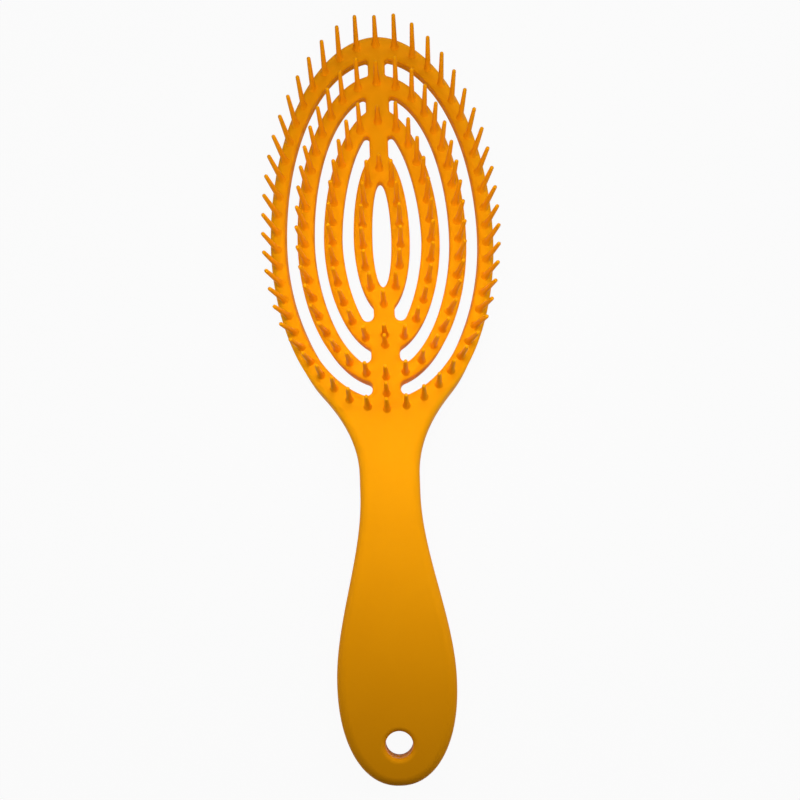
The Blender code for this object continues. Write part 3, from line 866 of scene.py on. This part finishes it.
@dataclass
class FrontMoulding(Moulding):
    """The face of the handle, the yoke and the fronts of the ribs, in one skin."""

    def edge_round(self, v: float) -> tuple[float, float]:
        """Gives the width and the depth of the face's edge round."""
        return self.depths.edge_inset(v), self.depths.edge(v)

    def outer(self, u: float, v: float) -> float:
        """Gives the height of the face."""
        return self.depths.face_rise(u, v)


@dataclass
class RearMoulding(Moulding):
    """The back of the handle and the backs of the ribs, in one skin."""

    seam_side: int = -1

    def edge_round(self, v: float) -> tuple[float, float]:
        """Gives the width and the depth of the back's edge round."""
        return self.depths.back_edge(v), self.depths.back_edge(v)

    def outer(self, _: float, v: float) -> float:
        """Gives the height of the back, the same right across."""
        return -self.depths.back(v)


def mesh_of(bm: bmesh.types.BMesh, name: str) -> bpy.types.Mesh:
    """Makes a mesh from what was modelled, and frees that.

    Args:
        bm: What was modelled.
        name: The mesh's name.

    Returns:
        The mesh.
    """
    mesh = bpy.data.meshes.new(name)
    bm.to_mesh(mesh)
    bm.free()
    return mesh


@dataclass
class PinRow:
    """The round tapered pins that stand along one rib."""

    name: str
    nodes: tuple[str, ...]
    line: Rim
    surface: BrushSurface
    count: int
    spread: float = 0.0
    extra_spots: tuple[tuple[float, float], ...] = ()
    length: float = 0.0156
    crown_length: float = 0.0156
    path_spacing: float = 0.000078
    skirt_radius: float = 0.0015
    skirt_height: float = 0.0032
    skirt_sink: float = 0.00016
    root_depth: float = 0.0008
    neck_radius: float = 0.00086
    tip_radius: float = 0.00063
    sides: int = 14
    skirt_steps: int = 6
    tip_steps: int = 4

    def spots(self) -> list[Vector]:
        """Gives the pins' places on the pattern.

        Returns:
            The places from the crown round: a spread sets them closer together at the sides.
        """
        path = self.line.run(0.0, TURN, self.path_spacing)
        lengths = lengths_along(path)
        wanted = []
        for number in range(self.count):
            turn = 1 - 2 * number / self.count
            widened = turn - self.spread * turn**3 * (1 - abs(turn)) ** 2
            wanted.append(lengths[-1] * (1 - widened) / 2)
        return points_at(path, lengths, wanted) + [Vector(spot) for spot in self.extra_spots]

    def profile(self, length: float) -> list[tuple[float, float]]:
        """Gives the outline that a pin is turned from.

        Args:
            length: The pin's length over the face.

        Returns:
            Its radius and height, from its root, over its flared skirt, to its round tip.
        """
        points = []
        for step in range(self.skirt_steps + 1):
            angle = math.pi / 2 * step / self.skirt_steps
            flare = (self.skirt_radius - self.neck_radius) * (1 - math.sin(angle))
            points.append((self.neck_radius + flare, self.skirt_height * (1 - math.cos(angle))))
        points[0] = (self.skirt_radius, -self.skirt_sink)
        top = length - self.tip_radius
        points.append((self.tip_radius, top))
        for step in range(1, self.tip_steps + 1):
            angle = math.pi / 2 * step / self.tip_steps
            points.append((self.tip_radius * math.cos(angle), top + self.tip_radius * math.sin(angle)))
        points[-1] = (0.0, length)
        return [(0.0, -self.root_depth), (self.skirt_radius, -self.root_depth), *points]

    def one_pin(self, length: float) -> bpy.types.Mesh:
        """Turns one pin about its own axis.

        Args:
            length: The pin's length over the face.

        Returns:
            The pin's mesh, which stands on the origin.
        """
        bm = bmesh.new()
        verts = [bm.verts.new((radius, 0, height)) for radius, height in self.profile(length)]
        edges = [bm.edges.new(pair) for pair in zip(verts, verts[1:])]
        bmesh.ops.spin(bm, geom=verts + edges, axis=(0, 0, 1), angle=TURN, steps=self.sides, use_merge=True)
        bmesh.ops.remove_doubles(bm, verts=bm.verts, dist=WELD)
        bmesh.ops.recalc_face_normals(bm, faces=bm.faces)
        for face in bm.faces:
            face.smooth = True
        return mesh_of(bm, self.name)

    def build(self) -> bpy.types.Object:
        """Stands a pin on every spot. The first, in the middle at the crown, has its own length.

        Returns:
            The finished object.
        """
        pin, crown_pin = self.one_pin(self.length), self.one_pin(self.crown_length)
        bm = bmesh.new()
        for number, spot in enumerate(self.spots()):
            start = len(bm.verts)
            bm.from_mesh(pin if number else crown_pin)
            bm.verts.ensure_lookup_table()
            foot = self.surface.bend(spot.x, spot.y, 0)
            way = self.surface.pin_way(spot.x, spot.y)
            turn = Vector((0, 0, 1)).rotation_difference(way).to_matrix().to_4x4()
            stand = LAID @ Matrix.Translation(foot) @ turn
            bmesh.ops.transform(bm, matrix=stand, verts=bm.verts[start:])
        for mesh in (pin, crown_pin):
            bpy.data.meshes.remove(mesh)
        return finished(bm, self.name, self.nodes)


def finished(bm: bmesh.types.BMesh, name: str, nodes: tuple[str, ...]) -> bpy.types.Object:
    """Makes an object at the origin from a mesh and gives it to the frame.

    Args:
        bm: The piece's mesh, in its place.
        name: The piece's name.
        nodes: The nodes of the frame that it stands for.

    Returns:
        The new object.
    """
    mesh = mesh_of(bm, name)
    mesh.set_sharp_from_angle(angle=SHARP_ANGLE)
    piece = bpy.data.objects.new(name, mesh)
    bpy.context.scene.collection.objects.link(piece)
    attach(piece, "root")
    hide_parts(*nodes)
    LOG.info("%s: %d faces", name, len(mesh.polygons))
    return piece


def feed(node: bpy.types.Node, inputs: dict[str | int, object]) -> None:
    """Sets inputs of a node.

    Args:
        node: The node.
        inputs: What each input gets, a value or another node's output, by its name or number.
    """
    for key, source in inputs.items():
        if isinstance(source, bpy.types.NodeSocket):
            node.id_data.links.new(source, node.inputs[key])
        else:
            node.inputs[key].default_value = source


@dataclass(frozen=True)
class SatinPlastic:
    """Orange moulded plastic with a satin skin."""

    name: str = "satin_orange_plastic"
    colour: tuple[float, float, float] = (0.95, 0.368, 0.003)
    deep_colour: tuple[float, float, float] = (0.90, 0.333, 0.002)
    roughness: tuple[float, float] = (0.42, 0.52)
    specular: float = 0.05
    specular_tint: tuple[float, float, float] = (1.0, 0.5, 0.1)
    cloud_scale: float = 45.0
    cloud_detail: float = 3.0
    grain_scale: float = 2600.0
    grain_detail: float = 2.0
    grain_height: float = 0.00002
    grain_strength: float = 0.12

    def material(self) -> bpy.types.Material:
        """Builds the material's nodes on Object coordinates.

        Returns:
            The material.
        """
        material = bpy.data.materials.new(self.name)
        material.use_nodes = True
        material.diffuse_color = (*self.colour, 1.0)
        tree = material.node_tree
        place = tree.nodes.new("ShaderNodeTexCoord").outputs["Object"]
        cloud = tree.nodes.new("ShaderNodeTexNoise")
        feed(cloud, {"Vector": place, "Scale": self.cloud_scale, "Detail": self.cloud_detail})
        tint = tree.nodes.new("ShaderNodeMix")
        tint.data_type = "RGBA"
        colours = {"A": (*self.deep_colour, 1.0), "B": (*self.colour, 1.0)}
        feed(tint, {"Factor": cloud.outputs["Fac"], **colours})
        satin = tree.nodes.new("ShaderNodeMapRange")
        low, high = self.roughness
        feed(satin, {"Value": cloud.outputs["Fac"], "To Min": low, "To Max": high})
        grain = tree.nodes.new("ShaderNodeTexNoise")
        feed(grain, {"Vector": place, "Scale": self.grain_scale, "Detail": self.grain_detail})
        bump = tree.nodes.new("ShaderNodeBump")
        feed(bump, {"Strength": self.grain_strength, "Distance": self.grain_height})
        feed(bump, {"Height": grain.outputs["Fac"]})
        skin = {
            "Base Color": tint.outputs["Result"],
            "Roughness": satin.outputs["Result"],
            "Specular IOR Level": self.specular,
            "Specular Tint": (*self.specular_tint, 1.0),
            "Normal": bump.outputs["Normal"],
        }
        feed(tree.nodes["Principled BSDF"], skin)
        return material


@dataclass(frozen=True)
class AreaLamp:
    """A rectangular lamp: place, size and target in metres, power in watts, spread in degrees."""

    name: str
    place: tuple[float, float, float]
    size: tuple[float, float]
    power: float
    target: tuple[float, float, float] = (0.0, 0.0, 0.0)
    spread: float = 180.0

    def build(self) -> None:
        """Hangs the lamp and turns it to its target."""
        lamp = bpy.data.lights.new(self.name, "AREA")
        lamp.shape = "RECTANGLE"
        lamp.size, lamp.size_y = self.size
        lamp.energy = self.power
        lamp.spread = math.radians(self.spread)
        holder = bpy.data.objects.new(self.name, lamp)
        holder.location = self.place
        away = Vector(self.place) - Vector(self.target)
        holder.rotation_euler = away.to_track_quat("Z", "Y").to_euler()
        holder.visible_camera = False
        bpy.context.scene.collection.objects.link(holder)


STUDIO_LAMPS = (
    AreaLamp("key_lamp", (0.0, 0.02, 0.13), size=(0.08, 0.16), power=0.11, target=(0.0, 0.02, 0.0)),
    AreaLamp("beam_lamp", (0.0, 0.04, 0.40), size=(0.06, 0.06), power=0.006, spread=25.0),
    AreaLamp("upper_lamp", (0.15, 0.35, 0.25), size=(0.15, 0.15), power=0.24),
    AreaLamp("strip_lamp", (0.30, 0.0, 0.28), size=(0.02, 0.30), power=0.16, target=(0.0, -0.02, 0.0)),
    AreaLamp("right_lamp", (0.3, -0.03, 0.08), size=(0.10, 0.30), power=0.22, target=(0.0, -0.03, 0.0)),
    AreaLamp("left_lamp", (-0.3, -0.03, 0.08), size=(0.10, 0.30), power=0.25, target=(0.0, -0.03, 0.0)),
    AreaLamp("crown_lamp", (0.0, 0.45, 0.12), size=(0.15, 0.15), power=0.28, target=(0.0, 0.05, 0.0)),
)


def seen_share(tree: bpy.types.NodeTree) -> bpy.types.NodeSocket:
    """Gives one to the rays by which a thing is seen, and zero to the rays that light it.

    Args:
        tree: The node tree to work in.

    Returns:
        The output that carries the share.
    """
    path = tree.nodes.new("ShaderNodeLightPath")
    share = path.outputs["Is Camera Ray"]
    for kind in ("Is Glossy Ray", "Is Transmission Ray"):
        larger = tree.nodes.new("ShaderNodeMath")
        larger.operation = "MAXIMUM"
        feed(larger, {0: share, 1: path.outputs[kind]})
        share = larger.outputs[0]
    return share


@dataclass(frozen=True)
class Studio:
    """The pale floor, the sky, the lamps and the camera."""

    floor_half_size: float = 3.0
    floor_colour: tuple[float, float, float] = (0.4, 0.4, 0.4)
    floor_glow: float = 0.95
    world_strength: float = 0.145
    camera_place: tuple[float, float, float] = (0.009358, -0.1172, 0.654221)
    camera_turn: tuple[float, float, float] = (10.0189, 0.8354, -2.0006)
    lens: float = 93.6
    sensor: float = 36.0
    lamps: tuple[AreaLamp, ...] = STUDIO_LAMPS

    def floor(self) -> None:
        """Lays the floor, which shows nearly white to the camera, with a faint shadow."""
        bm = bmesh.new()
        bmesh.ops.create_grid(bm, x_segments=1, y_segments=1, size=self.floor_half_size)
        floor = bpy.data.objects.new("floor", mesh_of(bm, "floor"))
        floor.data.materials.append(self.floor_material())
        bpy.context.scene.collection.objects.link(floor)

    def floor_material(self) -> bpy.types.Material:
        """Builds the floor's material: mostly white light for what sees it, with a share of shade.

        Returns:
            The material.
        """
        material = bpy.data.materials.new("pale_floor")
        material.use_nodes = True
        tree = material.node_tree
        tree.nodes.clear()
        share = tree.nodes.new("ShaderNodeMath")
        share.operation = "MULTIPLY"
        feed(share, {0: seen_share(tree), 1: self.floor_glow})
        shade = tree.nodes.new("ShaderNodeBsdfDiffuse")
        feed(shade, {"Color": (*self.floor_colour, 1.0)})
        glow = tree.nodes.new("ShaderNodeEmission")
        feed(glow, {"Color": WHITE})
        blend = tree.nodes.new("ShaderNodeMixShader")
        feed(blend, {"Fac": share.outputs[0], 1: shade.outputs[0], 2: glow.outputs[0]})
        feed(tree.nodes.new("ShaderNodeOutputMaterial"), {"Surface": blend.outputs[0]})
        return material

    def sky(self) -> None:
        """Sets the world: even soft light, which shows white to the camera and in reflections."""
        world = bpy.data.worlds.new("studio")
        bpy.context.scene.world = world
        world.use_nodes = True
        tree = world.node_tree
        tree.nodes.clear()
        light = tree.nodes.new("ShaderNodeBackground")
        feed(light, {"Color": WHITE, "Strength": self.world_strength})
        white = tree.nodes.new("ShaderNodeBackground")
        feed(white, {"Color": WHITE})
        blend = tree.nodes.new("ShaderNodeMixShader")
        feed(blend, {"Fac": seen_share(tree), 1: light.outputs[0], 2: white.outputs[0]})
        feed(tree.nodes.new("ShaderNodeOutputWorld"), {"Surface": blend.outputs[0]})

    def camera(self) -> None:
        """Sets the camera above the brush."""
        lens = bpy.data.cameras.new("camera")
        lens.lens = self.lens
        lens.sensor_width = self.sensor
        camera = bpy.data.objects.new("camera", lens)
        camera.location = self.camera_place
        camera.rotation_euler = [math.radians(angle) for angle in self.camera_turn]
        bpy.context.scene.collection.objects.link(camera)
        bpy.context.scene.camera = camera

    def build(self) -> None:
        """Builds the whole studio."""
        self.floor()
        self.sky()
        for lamp in self.lamps:
            lamp.build()
        self.camera()
        bpy.context.scene.view_settings.view_transform = "Standard"


FRONT_NODES = ("handle_front_shell", "outer_pin_rib", "second_pin_rib", "third_pin_rib", "inner_pin_rib")
REAR_NODES = ("handle_rear_shell", "outer_rear_rib", "second_rear_rib", "third_rear_rib", "inner_rear_rib")


@dataclass
class VentedBrush:
    """The whole brush: two mouldings and four rows of pins."""

    surface: BrushSurface = BrushSurface()
    head: HeadPlan = HeadPlan()
    handle: HandlePlan = HandlePlan()
    finish: SatinPlastic = SatinPlastic()

    def mouldings(self) -> list[Moulding]:
        """Gives the front and the rear moulding.

        Returns:
            The two mouldings.
        """
        plans = (self.head, self.handle, DepthPlan(self.surface, self.head, self.handle))
        front = FrontMoulding("front_moulding", FRONT_NODES, *plans)
        return [front, RearMoulding("rear_moulding", REAR_NODES, *plans)]

    def pin_rows(self) -> list[PinRow]:
        """Gives the rows of pins.

        Returns:
            The rows, from the outside in.
        """
        head = self.head
        outer = head.outer_bore.grown((head.outer_rib[0] / 2, *head.outer_row))
        second = head.second_bore.grown((head.second_rib[0] / 2, *head.second_row))
        third = head.third_bore.grown((head.third_rib[0] / 2, *head.third_row))
        inner = head.centre_slot.grown((head.inner_rib[0] / 2, *head.inner_row))
        yoke_pin = (0.0, head.second_rim.point(math.pi).y - head.yoke_pin_gap)
        bridge_pin = (0.0, third.point(math.pi).y + head.bridge_pin_gap)
        return [
            PinRow(
                "outer_pins",
                ("outer_pin_rib", "handle_front_shell"),
                outer,
                self.surface,
                count=50,
                spread=1.0,
                extra_spots=(yoke_pin,),
                crown_length=0.0136,
            ),
            PinRow(
                "second_pins",
                ("second_pin_rib",),
                second,
                self.surface,
                count=38,
                spread=0.5,
                crown_length=0.0112,
            ),
            PinRow(
                "third_pins",
                ("third_pin_rib",),
                third,
                self.surface,
                count=26,
                extra_spots=(bridge_pin,),
                crown_length=0.0090,
            ),
            PinRow("inner_pins", ("inner_pin_rib",), inner, self.surface, count=14, crown_length=0.0090),
        ]

    def build(self) -> None:
        """Builds and dresses every piece."""
        plastic = self.finish.material()
        for part in [*self.mouldings(), *self.pin_rows()]:
            part.build().data.materials.append(plastic)


def laid_down(surface: BrushSurface) -> Matrix:
    """Gives the turn and move that lay the brush on its heel and toe, as the frame has it.

    Args:
        surface: The brush's surface.

    Returns:
        The matrix from the pattern's space to the frame's.
    """
    handle = HandlePlan()
    depths = DepthPlan(surface, HeadPlan(), handle)
    heel, toe = depths.heel_and_toe()
    along = toe - heel
    turn = Matrix.Rotation(-math.atan2(along.z, along.y), 4, "X")
    tip = -handle.length
    ends = [surface.bend(0, tip, -depth) for depth in (depths.edge(tip), depths.seam(tip))]
    tail = min((turn @ end).y for end in ends)
    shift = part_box("handle_front_shell")[0][1] - tail
    return Matrix.Translation((0, shift, -(turn @ heel).z)) @ turn


LAID = laid_down(BrushSurface())


def main() -> None:
    """Builds the brush and the studio."""
    logging.basicConfig(level=logging.INFO, format="%(name)s: %(message)s")
    VentedBrush().build()
    Studio().build()


if __name__ == "__main__":
    main()
